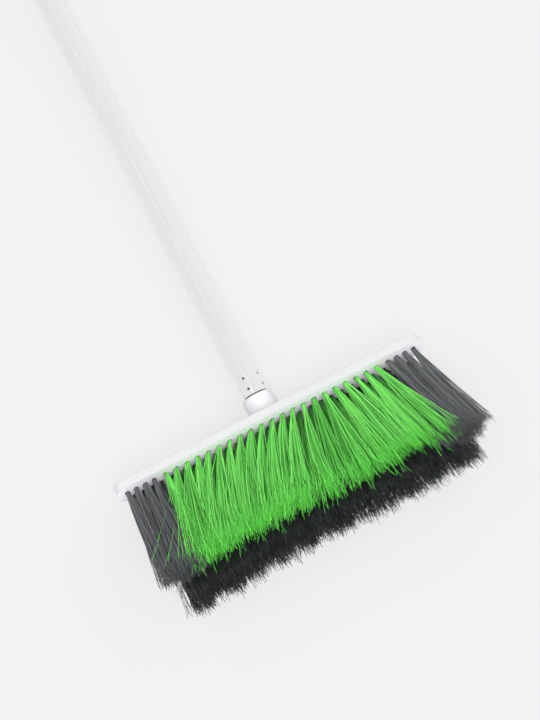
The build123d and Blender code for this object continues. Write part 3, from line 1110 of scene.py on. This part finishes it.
def plug_points():
    """A mesh of bare points, one in each crimp, that carry the direction outwards."""
    angles = [math.radians(first_crimp + 360 / crimp_count * i) for i in range(crimp_count)]
    directions = [along_head * math.cos(angle) + across_handle * math.sin(angle) for angle in angles]
    crimps = [(height, outwards) for height in crimp_heights for outwards in directions]
    middles = [socket_rim + up_the_handle * height for height, _ in crimps]
    radii = [outwards * (tube_radius - plug_sunk) for _, outwards in crimps]
    mesh = bpy.data.meshes.new("crimp_points")
    mesh.from_pydata([middle + radius for middle, radius in zip(middles, radii)], [], [])
    mesh.attributes.new("outwards", "FLOAT_VECTOR", "POINT")
    for i, (_, outwards) in enumerate(crimps):
        mesh.attributes["outwards"].data[i].vector = outwards
    return mesh


plugs = grown("crimp_plugs", plug_points(), plug_recipe(), {"Finish": dark_plastic}, Matrix())
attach(plugs, "handle")

# %% [markdown]
# ## The underside's outline
# In the CAD model the thin slice of plastic round the roots belongs to the tufts, because bristles have to
# be fused to something. The real block is one moulding, so a flush plate with a hole for each tuft fills
# that place. Its base mesh is the block's outline, moved in a little, as a loop of edges, and a loose point
# at each hole.

# %% The underside's outline
head_width = 0.057
front_bar_width = 0.022
front_end_radius = 0.008
rear_length = 0.280
rear_end_radius = 0.012
notch_radius = 0.0015
slice_margin = 0.0026


def corner(x, y, radius, start, end, steps=10):
    """Points of a rounded corner about a centre, from one angle to another."""
    angles = [math.radians(start + (end - start) * i / steps) for i in range(steps + 1)]
    return [(x + radius * math.cos(a), y + radius * math.sin(a), 0) for a in angles]


def outline_points(inset):
    """The block's outline moved in by an inset: its right half from front to rear, then its left half."""
    bar_x = head_length / 2 - front_end_radius
    bar_round = front_end_radius - inset
    front_y = front_end_radius - head_width / 2
    bar_y = front_bar_width - head_width / 2
    notch_x = rear_length / 2 + notch_radius
    rear_x = rear_length / 2 - rear_end_radius
    right = corner(bar_x, front_y, bar_round, -90, 0)
    right += corner(bar_x, bar_y - front_end_radius, bar_round, 0, 90)
    right += corner(notch_x, bar_y + notch_radius, notch_radius + inset, 270, 180)
    right += corner(rear_x, head_width / 2 - rear_end_radius, rear_end_radius - inset, 0, 90)
    return right + [(-x, y, z) for x, y, z in reversed(right)]


def plate_base():
    """A loop of edges round the plate, and a loose point at each tuft's root."""
    loop = outline_points(slice_margin)
    roots = [(x, row * row_pitch, 0) for row in rows.values() for x in sum(tuft_places(row).values(), [])]
    edges = [(i, (i + 1) % len(loop)) for i in range(len(loop))]
    mesh = bpy.data.meshes.new("plate_base")
    mesh.from_pydata(loop + roots, edges, [])
    hole = mesh.attributes.new("hole", "BOOLEAN", "POINT")
    for i in range(len(loop), len(loop) + len(roots)):
        hole.data[i].value = True
    return mesh


plate_mesh = plate_base()
print("outline and holes have", len(plate_mesh.vertices), "points")

# %% [markdown]
# ## The underside
# Cutting so many holes one by one would be slow, and cuts leave ragged faces. Filling a curve that holds
# smaller circles leaves clean holes at the circles. The filled face is then raised to a plate.

# %% The underside
plate_sizes = {"Thickness": 0.002, "Hole radius": hole_radius, "Finish": None}


def plate_recipe():
    """The tree that makes a plate inside a loop of edges, with a hole at each loose point."""
    tree, given, result = new_recipe("Holed plate", plate_sizes)
    outline = add_node(tree, "GeometryNodeMeshToCurve", {"Mesh": given["Geometry"]}).outputs[0]
    size = {"Resolution": 24, "Radius": given["Hole radius"]}
    circle = add_node(tree, "GeometryNodeCurvePrimitiveCircle", size).outputs[0]
    marked = attribute(tree, "hole", "BOOLEAN")
    inputs = {"Points": given["Geometry"], "Selection": marked, "Instance": circle}
    holes = add_node(tree, "GeometryNodeInstanceOnPoints", inputs).outputs[0]
    inputs = {"Geometry": joined(tree, outline, holes)}
    curves = add_node(tree, "GeometryNodeRealizeInstances", inputs).outputs[0]
    face = add_node(tree, "GeometryNodeFillCurve", {"Curve": curves}, mode="TRIANGLES").outputs[0]
    inputs = {"Mesh": face, "Offset Scale": given["Thickness"], "Individual": False}
    raised = add_node(tree, "GeometryNodeExtrudeMesh", inputs, mode="FACES").outputs["Mesh"]
    under = add_node(tree, "GeometryNodeFlipFaces", {"Mesh": face}).outputs[0]
    inputs = {"Geometry": joined(tree, raised, under), "Distance": 1e-6}
    solid = add_node(tree, "GeometryNodeMergeByDistance", inputs).outputs[0]
    end_recipe(tree, solid, given, result)
    return tree


underside = grown("underside_plate", plate_mesh, plate_recipe(), {"Finish": white_plastic}, head_place)
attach(underside, "head")
